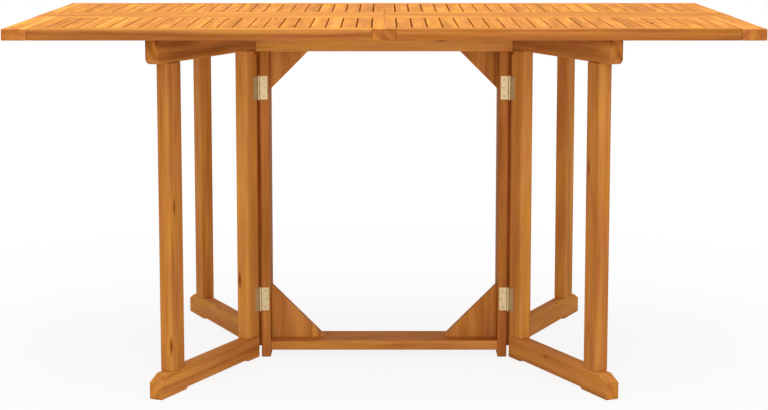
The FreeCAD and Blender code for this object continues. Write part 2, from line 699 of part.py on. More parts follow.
def write_frame():
    """Write the fixed pieces."""
    post = frame_post()
    write_node("frame_post_left", [post.mirror(ORIGIN, AXIS_X)])
    write_node("frame_post_right", [post])
    write_node("frame_bottom_rail", [frame_bottom_rail()])
    write_node("frame_top_rail", [frame_top_rail()])
    back_apron = apron()
    write_node("apron_front", [back_apron.mirror(ORIGIN, AXIS_Y)])
    write_node("apron_back", [back_apron])
    write_node("frame_gussets", gussets())
    board = centre_board()
    write_node("centre_board_left", [board.mirror(ORIGIN, AXIS_X)])
    write_node("centre_board_right", [board])
    write_node("gate_hinge_frame_leaves", in_all_quarters(gate_frame_leaves()))
    write_node("gate_hinge_pins", in_all_quarters(at_gate_hinges(hinge_pin(GATE_HINGE_HEIGHT), 1)))
    write_node("flap_hinge_centre_leaves", in_all_quarters(flap_centre_leaves()))
    write_node("flap_hinge_pins", in_all_quarters(at_flap_hinges(hinge_pin(FLAP_HINGE_LENGTH), 1)))
    write_node("frame_hinge_screws", in_all_quarters(frame_hinge_screws()))
    write_node("frame_wood_screws", in_all_quarters(frame_wood_screws()))


def write_quarters():
    """Write the moving pieces of the four quarters."""
    gate = {
        "foot": [gate_foot()],
        "inner_post": [gate_inner_post()],
        "outer_leg": [gate_outer_leg()],
        "top_rail": [gate_top_rail()],
        "hinge_leaves": gate_hinge_leaves(),
    }
    flap = {
        "outer_rail": [flap_outer_rail()],
        "inner_rail": [flap_inner_rail()],
        "end_rail": [flap_end_rail()],
        "seam_stile": [flap_seam_stile()],
        "slats": flap_slats(),
        "hinge_leaves": flap_hinge_leaves(),
    }
    for quarter, side_x, side_y in QUARTERS:
        for piece, solids in gate.items():
            opened = [to_quarter(swung_open(solid), side_x, side_y) for solid in solids]
            write_node("gate_" + quarter + "_" + piece, opened)
        for piece, solids in flap.items():
            placed = [to_quarter(solid, side_x, side_y) for solid in solids]
            write_node("flap_" + quarter + "_" + piece, placed)


os.makedirs("parts", exist_ok=True)
write_frame()
write_quarters()
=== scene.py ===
# %% [markdown]
# # A butterfly folding table in oiled acacia
#
# The table is an open, four-gated folding table: a central box frame, four gates that swing out
# from its corners, and a slatted top of a fixed centre board and four flaps. The joints, hinges
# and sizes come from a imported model, the frame. This lesson gives each board its eased edges, its
# own piece of tree and its oil finish, then lights it and points a camera at it.

# %% Load the frame
import json
import math
import random

import bmesh
import bpy
from mathutils import Matrix, Vector


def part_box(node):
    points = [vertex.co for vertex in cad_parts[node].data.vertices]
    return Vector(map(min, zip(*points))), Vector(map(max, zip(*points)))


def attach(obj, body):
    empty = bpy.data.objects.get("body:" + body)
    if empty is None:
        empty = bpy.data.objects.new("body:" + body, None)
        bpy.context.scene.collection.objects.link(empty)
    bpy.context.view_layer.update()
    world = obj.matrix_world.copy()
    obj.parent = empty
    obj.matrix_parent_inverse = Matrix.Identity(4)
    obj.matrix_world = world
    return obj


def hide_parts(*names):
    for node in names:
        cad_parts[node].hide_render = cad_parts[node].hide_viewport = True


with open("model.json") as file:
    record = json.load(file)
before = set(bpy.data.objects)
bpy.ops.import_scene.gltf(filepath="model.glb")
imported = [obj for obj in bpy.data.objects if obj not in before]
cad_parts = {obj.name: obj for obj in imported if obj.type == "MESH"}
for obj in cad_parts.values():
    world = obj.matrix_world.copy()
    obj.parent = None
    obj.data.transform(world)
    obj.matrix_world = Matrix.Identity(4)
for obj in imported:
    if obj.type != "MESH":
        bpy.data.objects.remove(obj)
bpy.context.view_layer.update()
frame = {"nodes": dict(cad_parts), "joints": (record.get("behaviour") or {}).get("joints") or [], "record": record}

# %% [markdown]
# ## Units and colours
#
# Blender works in metres and in linear light. Furniture is drawn in millimetres and paint is
# named by sRGB hex values. Two small helpers turn one into the other, so that every size and
# colour below can be written the way a maker would write it.

# %% Units and colours
MM = 0.001


def linear(hex_colour):
    """An sRGB hex colour as linear red, green, blue and alpha."""
    channels = [int(hex_colour[i:i + 2], 16) / 255 for i in (1, 3, 5)]
    light = [c / 12.92 if c <= 0.04045 else ((c + 0.055) / 1.055) ** 2.4 for c in channels]
    return (*light, 1.0)


print("the gates' acacia in linear light:", [round(c, 3) for c in linear("#C57F3B")])

# %% [markdown]
# ## Adding shader nodes
#
# A material is a network of small nodes. They could be laid out by hand in the shader editor, but a
# written network can be read from top to bottom and used again. One helper adds a node of any kind,
# sets its properties and gives its inputs values or links. Every network below is written with it.
# A Map Range node, for one, takes five inputs in order: the value, the two ends of the range that
# it comes from, and the two ends of the range that it is taken to.

# %% One helper for shader nodes


def add(tree, kind, inputs=(), stops=(), **settings):
    """Add a shader node of a kind, with its settings and, for a colour ramp, its stops.

    The inputs come in the order of the node's sockets, or by name. Each is a value, a socket to
    link from, or a node, which is then linked from its first output in use."""
    node = tree.nodes.new("ShaderNode" + kind)
    for name, value in settings.items():
        setattr(node, name, value)
    for index, (position, colour) in enumerate(stops):
        if index == len(node.color_ramp.elements):
            node.color_ramp.elements.new(position)
        node.color_ramp.elements[index].position = position
        node.color_ramp.elements[index].color = colour
    for key, value in inputs.items() if isinstance(inputs, dict) else enumerate(inputs):
        if isinstance(value, bpy.types.Node):
            value = next(output for output in value.outputs if output.enabled)
        if isinstance(value, bpy.types.NodeSocket):
            tree.links.new(value, node.inputs[key])
        else:
            node.inputs[key].default_value = value
    return node


def new_material(name):
    """A material with an empty network, as (material, tree)."""
    material = bpy.data.materials.new(name)
    material.use_nodes = True
    material.node_tree.nodes.clear()
    return material, material.node_tree


print("helpers:", add.__name__, "and", new_material.__name__)

# %% [markdown]
# ## Oiled acacia
#
# Acacia for garden tables is sawn from small, fast-grown trees: honey sapwood runs into red-brown
# heartwood, the growth rings are wide, small knots are common, and the pores are long enough to see
# as fine dark dashes along the grain. An oil finish soaks in, so it deepens the colour but leaves
# only a low satin sheen.
#
# An image of planks would be one way to make it. A solid texture suits joinery better: each board
# carries its own coordinates along and across the grain, in metres, and a seed that says where in
# the log it was cut. Rings are then real cylinders about a pith line, so they show as stripes on
# faces and as arcs on end grain, and they meet at the edges of a board.
#
# The scales are real ones: rings 11 mm apart, fibres 1.2 mm wide, pores 0.35 mm wide. Real pores
# are 0.2 mm wide and would be lost from across a room, so they are drawn that little coarser.

# %% Scales of the wood's figure
RING_SPACING = 11.0 * MM
PITH_SIDEWAYS = 45.0 * MM     # the pith lies up to this far to either side of a board's middle
PITH_BELOW = 55.0 * MM
FIBRE_WIDTH = 1.2 * MM
FIBRE_LENGTH = 60.0 * MM
PORE_WIDTH = 0.35 * MM
PORE_LENGTH = 9.0 * MM
STREAK_WIDTH = 5.0 * MM       # darker mineral streaks
STREAK_LENGTH = 150.0 * MM
WAVE_LENGTH = 380.0 * MM      # how fast the grain wanders along a board
WAVE_WIDTH = 45.0 * MM
WANDER = 9.0 * MM             # how far it wanders sideways
CLOUD_LENGTH = 230.0 * MM     # broad changes of tone
CLOUD_WIDTH = 26.0 * MM
PATCH_LENGTH = 150.0 * MM     # patches that are more golden or redder
PATCH_WIDTH = 20.0 * MM
KNOT_LENGTH = 150.0 * MM      # one small knot at most in each block of the log this long
KNOT_WIDTH = 30.0 * MM        # and this wide
SAP_BLEND = 5.0 * MM          # how wide the change from heartwood to sapwood is
print("rings across a 100 mm board:", round(100 * MM / RING_SPACING, 1))

# %% [markdown]
# ## Where in the log a board was cut
#
# No two boards of a table come from the same place in a log. A material for each board would show
# that, at the cost of more than a hundred materials. Instead each board's mesh carries its own
# values, and one material reads them. The seed moves the patterns along the log, and moves the pith,
# the line at the heart of the log, to one side of the board or the other.

# %% Where in the log a board was cut
SEED_STEP = (9.7, 3.1, 5.3)   # how far apart two seeds are in the patterns
SEED_TURN = 17.0              # and how far apart they are about the pith
NOISE_MIDDLE = (0.5, 0.5, 0.5)        # what a noise is on average


def figure(tree, place, length, width, kind="TexNoise", **inputs):
    """A pattern in the wood that is so long along the grain and so wide across it."""
    scale = (1 / length, 1 / width, 1 / width)
    scaled = add(tree, "VectorMath", [place, scale], operation="MULTIPLY")
    return add(tree, kind, {"Vector": scaled, "Scale": 1.0, **inputs})


def board_values(tree):
    """What each board brings to its material: the point in the grain, and the board's own values."""
    point, cut, edge = (add(tree, "Attribute", attribute_name=label).outputs["Vector"]
                        for label in ("grain", "cut", "edge"))
    seed, tone, sap = add(tree, "SeparateXYZ", [cut]).outputs
    # the third mark is where a slat's sides get painted light
    wear, end, sun = add(tree, "SeparateXYZ", [edge]).outputs
    shift = add(tree, "VectorMath", {0: SEED_STEP, "Scale": seed}, operation="SCALE")
    place = add(tree, "VectorMath", [point, shift], operation="ADD")
    return {"point": point, "place": place, "seed": seed, "tone": tone, "sap": sap,
            "wear": wear, "end": end, "sun": sun}


def ring_radius(tree, cut):
    """The distance from the pith, with the sideways wander of the grain."""
    drift = figure(tree, cut["place"], WAVE_LENGTH, WAVE_WIDTH).outputs["Color"]
    drift = add(tree, "VectorMath", [drift, NOISE_MIDDLE], operation="SUBTRACT")
    drift = add(tree, "VectorMath", [drift, (0.0, 2 * WANDER, 2 * WANDER)], operation="MULTIPLY")
    swing = add(tree, "Math", [cut["seed"], SEED_TURN], operation="MULTIPLY")
    swing = add(tree, "Math", [swing], operation="SINE")
    pith_y = add(tree, "Math", [swing, PITH_SIDEWAYS], operation="MULTIPLY")
    pith = add(tree, "CombineXYZ", [0.0, pith_y, -PITH_BELOW])
    radial = add(tree, "VectorMath", [cut["point"], pith], operation="SUBTRACT")
    radial = add(tree, "VectorMath", [radial, drift], operation="ADD")
    radial = add(tree, "VectorMath", [radial, (0.0, 1.0, 1.0)], operation="MULTIPLY")
    return add(tree, "VectorMath", [radial], operation="LENGTH")


print("a board's pith in mm: below it", PITH_BELOW / MM, "and beside it up to", PITH_SIDEWAYS / MM)

# %% [markdown]
# ## The colour inside a log
#
# The rings and the slow clouds of tone share one colour ramp, from pale wood to dark. Over it lies
# what makes acacia lively: golden and red patches, sapwood, mineral streaks and small knots. They
# could be painted on each board. Here each is a pattern of its own real size, and it tints the
# figure without hiding it, so that all boards look like wood from one kind of tree.

# %% The colour inside a log
CLOUD_SHARE = 0.6             # the clouds' share in a board's figure; the rings have the rest
FIGURE_STOPS = (0.28, 0.5, 0.76)      # where the figure is pale, middling and dark
RED_AT = (0.52, 0.66)         # where the patches begin to be red, and where they are reddest
GOLDEN_AT = (0.48, 0.34)
PATCH_DEPTH = 0.8
STREAK_AT = (0.56, 0.74)
STREAK_DEPTH = 0.7
KNOT_AT = (0.16, 0.05)        # from the rim of a knot to its dark middle, in widths of its block
KNOT_DEPTH = 0.9
KNOT_CHANCE = (0.55, 0.65)    # two blocks in five have a knot
HONEY_DEPTH = 0.7             # how far sapwood goes from the heartwood's colour to the pale one
RED_PATCH = ("#F5E9FF", 1.05)         # these four multiply the wood's colour
GOLDEN_PATCH = ("#FCFFD9", 1.08)
OLIVE_STREAK = ("#E6CDB4", 1.0)
DARK_KNOT = ("#A0704E", 1.0)


def tinted(tree, colour, factor, tint, level):
    """A colour, multiplied by a tint and a level where the factor is 1."""
    shade = [c * level for c in linear(tint)[:3]]
    other = add(tree, "VectorMath", [colour, shade], operation="MULTIPLY")
    return add(tree, "Mix", {"Factor": factor, "A": colour, "B": other}, data_type="RGBA")


def log_colour(tree, cut, cloud, pale, middle, dark):
    """Rings and clouds, golden and red patches, honey sapwood, olive-red streaks and dark knots."""
    radius = ring_radius(tree, cut)
    ring = add(tree, "Math", [radius, RING_SPACING], operation="DIVIDE")
    ring = add(tree, "Math", [ring, cut["seed"]], operation="ADD")
    ring = add(tree, "TexNoise", {"W": ring, "Scale": 1.0, "Detail": 1.5}, noise_dimensions="1D")
    tone = add(tree, "Mix", {"Factor": CLOUD_SHARE, "A": ring, "B": cloud}, data_type="FLOAT")
    tone = add(tree, "Math", [tone, cut["tone"]], operation="ADD")
    colours = [linear(colour) for colour in (pale, middle, dark)]
    colour = add(tree, "ValToRGB", [tone], zip(FIGURE_STOPS, colours))

    patch = figure(tree, cut["place"], PATCH_LENGTH, PATCH_WIDTH, Detail=1.5)
    red = add(tree, "MapRange", [patch, *RED_AT, 0.0, PATCH_DEPTH])
    golden = add(tree, "MapRange", [patch, *GOLDEN_AT, 0.0, PATCH_DEPTH])
    colour = tinted(tree, colour, red, *RED_PATCH)
    colour = tinted(tree, colour, golden, *GOLDEN_PATCH)

    outside = add(tree, "Math", [radius, cut["sap"]], operation="SUBTRACT")
    honey = add(tree, "MapRange", [outside, 0.0, SAP_BLEND, 0.0, HONEY_DEPTH])
    colour = add(tree, "Mix", {"Factor": honey, "A": colour, "B": colours[0]}, data_type="RGBA")

    streak = figure(tree, cut["place"], STREAK_LENGTH, STREAK_WIDTH)
    streak = add(tree, "MapRange", [streak, *STREAK_AT, 0.0, STREAK_DEPTH])
    colour = tinted(tree, colour, streak, *OLIVE_STREAK)
    knots = figure(tree, cut["place"], KNOT_LENGTH, KNOT_WIDTH, "TexVoronoi").outputs
    chance = add(tree, "SeparateXYZ", [knots["Color"]]).outputs["X"]
    chance = add(tree, "MapRange", [chance, *KNOT_CHANCE, 0.0, 1.0])
    depth = add(tree, "MapRange", [knots["Distance"], *KNOT_AT, 0.0, KNOT_DEPTH])
    knot = add(tree, "Math", [depth, chance], operation="MULTIPLY")
    return tinted(tree, colour, knot, *DARK_KNOT)


knot_share = (1 - sum(KNOT_CHANCE) / 2) * 2 * KNOT_AT[0]
knot_area = KNOT_LENGTH * KNOT_WIDTH / knot_share
print("one knot in about", round(knot_area / (10 * MM) ** 2), "square centimetres of a face")

# %% [markdown]
# ## Painted light, wear and end grain
#
# A table that has stood outside has rubbed arrises, and the sawn ends of its boards, which drink
# more oil, are a little darker. On top of that, faces that look up are painted paler, as painted
# light from above, and so are the upper sides of the slats, as painted light in the gaps between
# them. Maps of dirt and wear are often baked from the shape. Here the mesh itself says where its
# arrises and ends are, and the way a face looks says how much painted light it gets, so nothing
# has to be baked and every board follows one rule.

# %% Painted light and wear
FACING_UP = (0.6, 0.95)       # how far a face looks up before it gets the full painted light from above
WEAR_AT = (0.4, 0.6)          # wear comes and goes with the clouds
LEAST_WEAR = 0.2
WORN_ARRIS = ("#FFFBF4", 1.04)        # these two multiply the wood's colour
END_GRAIN = ("#FAF3E6", 0.96)


def wear_and_painted_light(tree, colour, cut, cloud, painted_light_gain=None):
    """Painted light pales what looks up, hands wear the arrises, and end grain drinks more oil."""
    # painted light: faces that look up, and marked points high on the slats' sides, are made paler
    if painted_light_gain:
        normal = add(tree, "TexCoord").outputs["Normal"]
        up = add(tree, "SeparateXYZ", [normal]).outputs["Z"]
        up = add(tree, "MapRange", [up, *FACING_UP, 0.0, 1.0])
        up = add(tree, "Math", [up, cut["sun"]], operation="MAXIMUM")
        lit = add(tree, "VectorMath", [colour, painted_light_gain], operation="MULTIPLY")
        colour = add(tree, "Mix", {"Factor": up, "A": colour, "B": lit}, data_type="RGBA")
    patchy = add(tree, "MapRange", [cloud, *WEAR_AT, LEAST_WEAR, 1.0])
    worn = add(tree, "Math", [cut["wear"], patchy], operation="MULTIPLY")
    colour = tinted(tree, colour, worn, *WORN_ARRIS)
    return tinted(tree, colour, cut["end"], *END_GRAIN)


# how far from level a face still gets the full painted light
print("fully bleached up to", round(math.degrees(math.acos(FACING_UP[1]))), "degrees from level")

# %% [markdown]
# ## The finish of oiled acacia
#
# Oil leaves the wood its own surface: the fibres stand a little proud, the pores stay open, and the
# sheen is low and uneven. A clear coat over the colour would look like varnish. So there is no coat
# here. Fibres and pores change the roughness and the relief, and the gloss is turned down.

# %% The finish of oiled acacia
NOISE_SPAN = (0.3, 0.7)       # nearly all values of a noise lie between these
FIBRE_LEVELS = (1.06, 0.93)   # fibres lighten and darken the wood by a few per cent
PORES_AT = (0.62, 0.72)
PORE_LEVELS = (1.0, 0.75)
OILED_ROUGHNESS = (0.58, 0.74)        # a low satin, rougher on the raised fibres
OIL_IOR = 1.45                # of a hardened oil
OIL_SHEEN = 0.05              # the oil has soaked in, so only a little of its gloss is left
GRAIN_STRENGTH = 0.35
GRAIN_RELIEF = 0.3 * MM       # the fibres stand a little proud, and the pores are open


def oiled_acacia(name, pale, middle, dark, painted_top_light=None):
    """Oiled acacia in three colours of figure; a fourth, if given, is the middle one in painted light."""
    material, tree = new_material(name)
    cut = board_values(tree)
    cloud = figure(tree, cut["place"], CLOUD_LENGTH, CLOUD_WIDTH, Detail=3.0)
    fibre = figure(tree, cut["place"], FIBRE_LENGTH, FIBRE_WIDTH, Detail=3.0, Roughness=0.6)
    pore = figure(tree, cut["place"], PORE_LENGTH, PORE_WIDTH, Detail=1.0)
    fibre_level = add(tree, "MapRange", [fibre, *NOISE_SPAN, *FIBRE_LEVELS])
    pore_level = add(tree, "MapRange", [pore, *PORES_AT, *PORE_LEVELS])
    level = add(tree, "Math", [fibre_level, pore_level], operation="MULTIPLY")
    height = add(tree, "Math", [fibre, pore_level], operation="MULTIPLY")

    colour = log_colour(tree, cut, cloud, pale, middle, dark)
    colour = add(tree, "VectorMath", {0: colour, "Scale": level}, operation="SCALE")
    # the painted light from above, as a factor on the middle colour
    painted_light_gain = [s / m for s, m in zip(linear(painted_top_light)[:3], linear(middle)[:3])] if painted_top_light else None
    grain = {"Height": height, "Strength": GRAIN_STRENGTH, "Distance": GRAIN_RELIEF}
    shader = add(tree, "BsdfPrincipled", {
        "Base Color": wear_and_painted_light(tree, colour, cut, cloud, painted_light_gain),
        "Roughness": add(tree, "MapRange", [fibre, *NOISE_SPAN, *OILED_ROUGHNESS]),
        "Normal": add(tree, "Bump", grain),
        "IOR": OIL_IOR,
        "Specular IOR Level": OIL_SHEEN,
    })
    add(tree, "OutputMaterial", [shader])
    return material


acacia = {
    # the top: lively honey brown, with painted light from above making paler what looks up
    "top_wood": oiled_acacia("acacia_top", "#D89148", "#BD7437", "#9E5C28", "#E3943E"),
    # the gates: an even golden brown
    "leg_wood": oiled_acacia("acacia_gates", "#DA9449", "#C57F3B", "#A05F29"),
    # the frame: from pale boards to red heartwood, with the strongest figure
    "frame_wood": oiled_acacia("acacia_frame", "#E09C4E", "#C07A39", "#9A5A27"),
}
for material in acacia.values():
    print(material.name, "has", len(material.node_tree.nodes), "nodes")

# %% [markdown]
# ## A board
#
# Every wooden piece here is a sawn and planed board whose sharp corners, the arrises, were taken
# off with a router before assembly. A bevel in the shading alone would be quicker, but rounding the
# real mesh gives every board a line of light along its edge and a fine shadow line where two boards
# meet, and it lasts when the mesh is used elsewhere.
#
# A board is a flat outline pushed to a thickness. The edges that run along the grain are rounded in
# three steps, and the short end edges are only just broken. Where a long edge turns smoothly into
# an end, the rounding carries on round the corner, as a router would.

# %% Which edges are rounded
SHARP_ANGLE = math.radians(20)
SAME_PLACE = 0.01 * MM
ARRIS_STEPS = 3               # flats in a rounded long edge


def is_sharp(edge):
    """True for an edge where two faces meet at a clear angle."""
    return edge.calc_face_angle(0.0) > SHARP_ANGLE


def runs_on(edge, others):
    """True for an edge that carries on smoothly from one of the others."""
    for vert in edge.verts:
        ahead = edge.other_vert(vert).co - vert.co
        for other in set(vert.link_edges) & others - {edge}:
            if ahead.angle(vert.co - other.other_vert(vert).co) < SHARP_ANGLE:
                return True
    return False


def is_at_end(place, ends):
    """True for a place at either end of a board."""
    return min(abs(place - ends[0]), abs(place - ends[1])) < SAME_PLACE


def is_end_edge(edge, along, ends):
    """True for an edge in the plane of a board's sawn end."""
    places = [vert.co[along] for vert in edge.verts]
    return abs(places[0] - places[1]) < SAME_PLACE and is_at_end(places[0], ends)


def reach(bm, axis):
    """The lowest and highest places of a mesh along an axis."""
    places = [vert.co[axis] for vert in bm.verts]
    return min(places), max(places)


def ease_edges(bm, along, ends, ease, end_ease):
    """Round a board's long edges and break its end edges; rounded faces get material index 1."""
    long_edges = {e for e in bm.edges if is_sharp(e) and not is_end_edge(e, along, ends)}
    run_on = {e for e in bm.edges if is_sharp(e) and runs_on(e, long_edges)}
    eased = [e for e in bm.edges if e in long_edges | run_on]
    rounded = bmesh.ops.bevel(bm, geom=eased, offset=ease, segments=ARRIS_STEPS, profile=0.5,
                              affect="EDGES", clamp_overlap=True)
    for face in rounded["faces"]:
        face.material_index = 1
    end_edges = [e for e in bm.edges if is_sharp(e) and is_end_edge(e, along, ends)]
    bmesh.ops.bevel(bm, geom=end_edges, offset=end_ease, segments=1, affect="EDGES", clamp_overlap=True)
    bm.verts.index_update()


print("an edge is sharp where it turns by more than", round(math.degrees(SHARP_ANGLE)), "degrees")

# %% [markdown]
# ## What a board tells its material
#
# Texture coordinates painted on each board would work, but these boards are plain enough to work
# them out. Each point stores where it lies along and across the grain, measured from the middle of
# its board. A board also stores its seed, its tone and how far from the pith its sapwood starts,
# and marks the points on a worn arris, on end grain, or high up on the side of a slat, which gets
# painted light there so that the gaps between slats look lit.

# %% One board
EASE = 2.0 * MM
END_EASE = 0.8 * MM
BOARD_TONES = (-0.06, 0.06)   # a tone below zero is a paler board, and one above it a darker one
NO_SAPWOOD = 1.0              # a sapwood radius that no board reaches
AXES = {"x": 0, "y": 1, "z": 2}
SEEDS = (0, 10)
dice = random.Random(7)       # the same draws in every run


def sapwood_radius(seed, sap):
    """How far from the pith a board's sapwood starts."""
    if sap is None:
        return NO_SAPWOOD
    return math.hypot(sap[0] - PITH_SIDEWAYS * math.sin(SEED_TURN * seed), sap[1] + PITH_BELOW)


def pushed_outline(points, push):
    """A new mesh: an outline of 3-D points, pushed along a vector."""
    bm = bmesh.new()
    near = [bm.verts.new(point) for point in points]
    far = [bm.verts.new(Vector(point) + push) for point in points]
    bm.faces.new(near)
    bm.faces.new(list(reversed(far)))
    for i, vert in enumerate(near):
        j = (i + 1) % len(near)
        bm.faces.new((vert, far[i], far[j], near[j]))
    bmesh.ops.recalc_face_normals(bm, faces=bm.faces)
    return bm


def board(points, push, grain, ease=EASE, end_ease=END_EASE, tone=None, sap=None, slide=0.0,
          sunlit=False):
    """A board from its outline, as vertices, faces and each vertex's grain, cut and edge values.

    sap is a point of its section, from its middle, where sapwood starts. slide is how much further
    along the log the board is cut. The last argument paints light onto the board's sides, towards
    their tops."""
    bm = pushed_outline(points, push)
    along = AXES[grain]
    ends = reach(bm, along)
    ease_edges(bm, along, ends, ease, end_ease)

    centre = sum((vert.co for vert in bm.verts), Vector()) / len(bm.verts)
    centre[along] -= slide
    # of the two ways across the grain, the wider comes first
    across = sorted({0, 1, 2} - {along}, key=lambda axis: reach(bm, axis)[0] - reach(bm, axis)[1])
    seed = dice.uniform(*SEEDS)
    tone = dice.uniform(*BOARD_TONES) if tone is None else tone
    cut = Vector((seed, tone, sapwood_radius(seed, sap)))
    grains = [Vector([vert.co[axis] - centre[axis] for axis in (along, *across)]) for vert in bm.verts]
    marks = []
    for vert in bm.verts:
        worn = all(face.material_index == 1 for face in vert.link_faces)
        # the upper half of a slat's side gets painted light, so that the gaps look lit
        sun = sunlit and vert.co.z > centre.z
        marks.append(Vector((worn, is_at_end(vert.co[along], ends), sun)))
    vertices = [vert.co.copy() for vert in bm.verts]
    faces = [[vert.index for vert in face.verts] for face in bm.faces]
    bm.free()
    return vertices, faces, grains, [cut] * len(vertices), marks


def plank(low, high, grain, **settings):
    """A plain rectangular board between two corners."""
    x0, y0, z0 = low
    x1, y1, z1 = high
    points = [(x0, y0, z0), (x1, y0, z0), (x1, y1, z0), (x0, y1, z0)]
    return board(points, Vector((0, 0, z1 - z0)), grain, **settings)


print("arrises in mm: long", EASE / MM, "ends", END_EASE / MM)

# %% [markdown]
# ## From boards to pieces
#
# A piece may hold one board, like an apron, or a row of them, like the slats. An object for every
# board would do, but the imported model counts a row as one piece, so boards are joined into one
# mesh. It is turned into place, given its material and tied to the body that carries it. A Weighted
# Normal modifier keeps the broad faces flat and lets only the eased edges curve.

# %% Join boards into a piece
FLATNESS = 100                # the broad faces alone decide how a board is shaded


def piece(name, boards, body, slot, replaced, turn=Matrix.Identity(4)):
    """One object from boards, riding on a body in place of a node of the frame."""
    vertices, faces = [], []
    values = {"grain": [], "cut": [], "edge": []}
    for board_vertices, board_faces, *board_layers in boards:
        start = len(vertices)
        vertices += [turn @ v for v in board_vertices]
        faces += [[start + index for index in face] for face in board_faces]
        for collected, added in zip(values.values(), board_layers):
            collected += added
    mesh = bpy.data.meshes.new(name)
    mesh.from_pydata(vertices, [], faces)
    for label, vectors in values.items():
        attribute = mesh.attributes.new(label, "FLOAT_VECTOR", "POINT")
        attribute.data.foreach_set("vector", [c for vector in vectors for c in vector])
    mesh.shade_smooth()
    mesh.materials.append(acacia[slot])
    made = bpy.data.objects.new(name, mesh)
    bpy.context.scene.collection.objects.link(made)
    normals = made.modifiers.new("flat faces, round edges", "WEIGHTED_NORMAL")
    normals.weight = FLATNESS
    normals.keep_sharp = False
    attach(made, body)
    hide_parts(replaced)
    print(name + ":", "boards", len(boards), "points", len(vertices))


# %% [markdown]
# ## The central frame
#
# The frame is a box without a front: two wide boards stand on the floor as posts, joined by a
# bottom rail and a top rail, with an apron on each side over their narrowed heads. Triangular
# gussets in the four corners keep it square. Cubes scaled to size would be quicker, but planed
# stock has eased arrises and a grain that runs the right way. So each piece is a plank that fills
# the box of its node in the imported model, and only posts and gussets have outlines of their own.

# %% Posts, rails and aprons
APRON_TONE = -0.3             # the aprons are pale boards, made paler still as painted light against the shade under the top
POST_TONE = 0.06              # and the posts from red heartwood
BOTTOM_RAIL_TONE = -0.06


def frame_plank(node, grain, **settings):
    """A plank that fills a node's box."""
    low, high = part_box(node)
    piece("wood_" + node, [plank(low, high, grain, **settings)], "frame", "frame_wood", node)


apron_low, apron_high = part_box("apron_back")
head_half = apron_low.y       # the heads of the posts fill the space between the aprons
for side in ("left", "right"):
    node = "frame_post_" + side
    low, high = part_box(node)
    points = [
        (low.x, low.y, low.z), (low.x, high.y, low.z), (low.x, high.y, apron_low.z),
        (low.x, head_half, apron_low.z), (low.x, head_half, high.z),
        (low.x, -head_half, high.z), (low.x, -head_half, apron_low.z), (low.x, low.y, apron_low.z),
    ]
    push = Vector((high.x - low.x, 0, 0))
    piece("wood_" + node, [board(points, push, "z", tone=POST_TONE)], "frame", "frame_wood", node)
post_inner_x = low.x          # of the right post, which was made last

for node in ("apron_front", "apron_back"):
    frame_plank(node, "x", tone=APRON_TONE)
frame_plank("frame_top_rail", "x")
low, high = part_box("frame_bottom_rail")
low.x, high.x = -post_inner_x, post_inner_x
bottom_rail = plank(low, high, "x", tone=BOTTOM_RAIL_TONE)
piece("wood_frame_bottom_rail", [bottom_rail], "frame", "frame_wood", "frame_bottom_rail")
print("inside of the frame in mm:", round(2 * post_inner_x / MM, 1))

# %% [markdown]
# ## Gussets
#
# A gusset is a triangle of solid wood in a corner, which keeps a frame from leaning over. It could be
# cut from a block with a Boolean modifier. Three points pushed to a thickness give the same shape
# with clean faces, and the helper that made the posts rounds its edges too. Its grain stands upright.

# %% Gussets
GUSSET_LEG = 120.0 * MM       # the two sides that meet in the corner
GUSSET_EASE = 2.0 * MM
GUSSET_TONE = {(-1, 1): -0.1, (-1, -1): -0.12, (1, 1): -0.06, (1, -1): 0.03}
low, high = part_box("frame_gussets")
gussets = []
for side in (-1, 1):
    for corner_z, up in ((low.z, 1), (high.z, -1)):
        points = [
            (side * high.x, low.y, corner_z),
            (side * (high.x - GUSSET_LEG), low.y, corner_z),
            (side * high.x, low.y, corner_z + up * GUSSET_LEG),
        ]
        push = Vector((0, high.y - low.y, 0))
        gussets.append(board(points, push, "z", ease=GUSSET_EASE, tone=GUSSET_TONE[side, up]))
piece("wood_frame_gussets", gussets, "frame", "frame_wood", "frame_gussets")
print("gussets:", len(gussets))

# %% [markdown]
# ## The tabletop
#
# Each half of the top has a fixed centre board and a flap on either side. A flap is a frame of two
# long rails between a wide end rail and a narrow seam stile, with a row of slats between the long
# rails. Slats let rain through, and let the wood swell without pushing the frame apart.
#
# One slat and an Array modifier would give the row, but every slat would show the same piece of
# wood. Real ones are cut from offcuts of many boards, so each is a plank of its own here, and their
# tone changes from one to the next more than that of the rails does.

# %% Centre boards
TOP_EASE = 2.5 * MM
CENTRE_TONE = {"left": 0.04, "right": 0.11}
SEAM_LEFT = 0.01 * MM         # what is left of the middle seam's gap on each side


def top_piece(node, boards, body):
    """A piece of the tabletop."""
    piece("wood_" + node, boards, body, "top_wood", node)


def close_seam(low, high):
    """Bring a board beside the middle seam up to it, so that no light comes through."""
    if high.x < 0:
        high.x = -SEAM_LEFT
    elif low.x > 0:
        low.x = SEAM_LEFT


for side in ("left", "right"):
    node = "centre_board_" + side
    low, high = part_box(node)
    close_seam(low, high)
    top_piece(node, [plank(low, high, "x", ease=TOP_EASE, tone=CENTRE_TONE[side])], "frame")
print("centre board in mm:", round(2 * high.x / MM), "x", round((high.y - low.y) / MM))

# %% A row of slats
SLATS = 22
SLAT_GAP = 3.0 * MM
SLAT_EASE = 0.9 * MM
SLAT_TONES = (-0.05, 0.06)


def slat_row(low, high):
    """The slats between two corners, side by side along x."""
    width = (high.x - low.x - (SLATS - 1) * SLAT_GAP) / SLATS
    row = []
    for index in range(SLATS):
        start = low.x + index * (width + SLAT_GAP)
        corner_low, corner_high = Vector(low), Vector(high)
        corner_low.x, corner_high.x = start, start + width
        tone = dice.uniform(*SLAT_TONES)
        # each slat's sides get painted light towards their tops
        row.append(plank(corner_low, corner_high, "y", ease=SLAT_EASE, tone=tone, sunlit=True))
    return row


